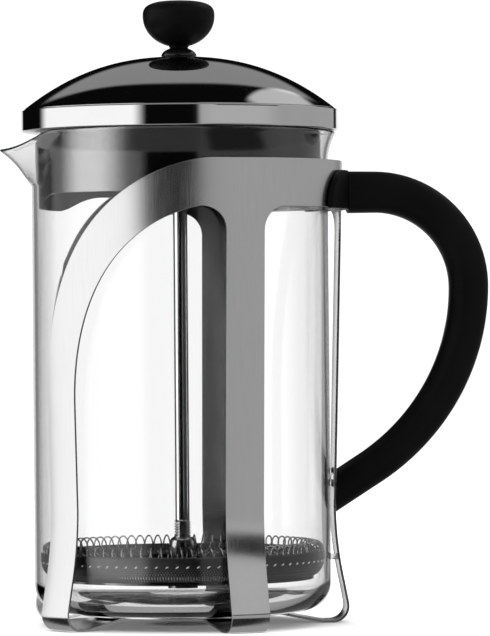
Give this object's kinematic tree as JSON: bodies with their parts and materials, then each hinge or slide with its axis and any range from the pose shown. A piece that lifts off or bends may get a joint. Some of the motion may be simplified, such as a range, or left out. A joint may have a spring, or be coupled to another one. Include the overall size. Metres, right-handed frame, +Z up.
{
  "type": "french press",
  "caption": "Glass french press in a sheet-steel carrier with legs, a moulded loop handle, a domed steel lid and a plunger with a spring-edged mesh filter.",
  "frame": {"origin": "on the beaker's axis, on the surface that the feet stand on", "axes": "+Z up along the beaker's axis, +X toward the handle, -X toward the spout"},
  "size_m": [0.1656, 0.1098, 0.2103],
  "materials": {
    "carrier_steel": "satin",
    "base_steel": "satin",
    "lid_steel": "mirror polished",
    "sleeve_steel": "satin",
    "glass": "clear",
    "handle_black": "matte",
    "knob_black": "satin",
    "bush_black": "gloss",
    "bumper_clear": "clear",
    "rod_steel": "polished",
    "filter_steel": "satin",
    "mesh_steel": "woven",
    "screw_steel": "satin",
    "insert_brass": "machined"
  },
  "bodies": {
    "carrier": {"carrier_frame": "carrier_steel", "base_plate": "base_steel", "leg_bumpers": "bumper_clear", "handle_grip": "handle_black", "handle_clip": "handle_black", "handle_screws": "screw_steel", "handle_inserts": "insert_brass"},
    "glass": {"beaker": "glass"},
    "bush": {"lid_bush": "bush_black", "bush_retainer": "bush_black"},
    "lid": {"lid_dome": "lid_steel", "lid_sleeve": "sleeve_steel"},
    "plunger": {"knob": "knob_black", "knob_insert": "insert_brass", "plunger_rod": "rod_steel", "clamp_hub": "filter_steel", "spring_plate": "filter_steel", "edge_spring": "rod_steel", "mesh_screen": "mesh_steel", "cross_plate": "filter_steel", "plate_boss": "filter_steel"}
  },
  "joints": [
    {"name": "beaker_lift", "type": "slide", "parent": "carrier", "child": "glass", "axis": [0, 0, 1], "range_m": [0, 0.16]},
    {"name": "lid_lift", "type": "slide", "parent": "glass", "child": "bush", "axis": [0, 0, 1], "range_m": [0, 0.165]},
    {"name": "lid_turn", "type": "hinge", "parent": "bush", "child": "lid", "pos_m": [0, 0, 0.17], "axis": [0, 0, 1], "continuous": true},
    {"name": "plunger_slide", "type": "slide", "parent": "bush", "child": "plunger", "axis": [0, 0, 1], "range_m": [0, 0.11]}
  ]
}
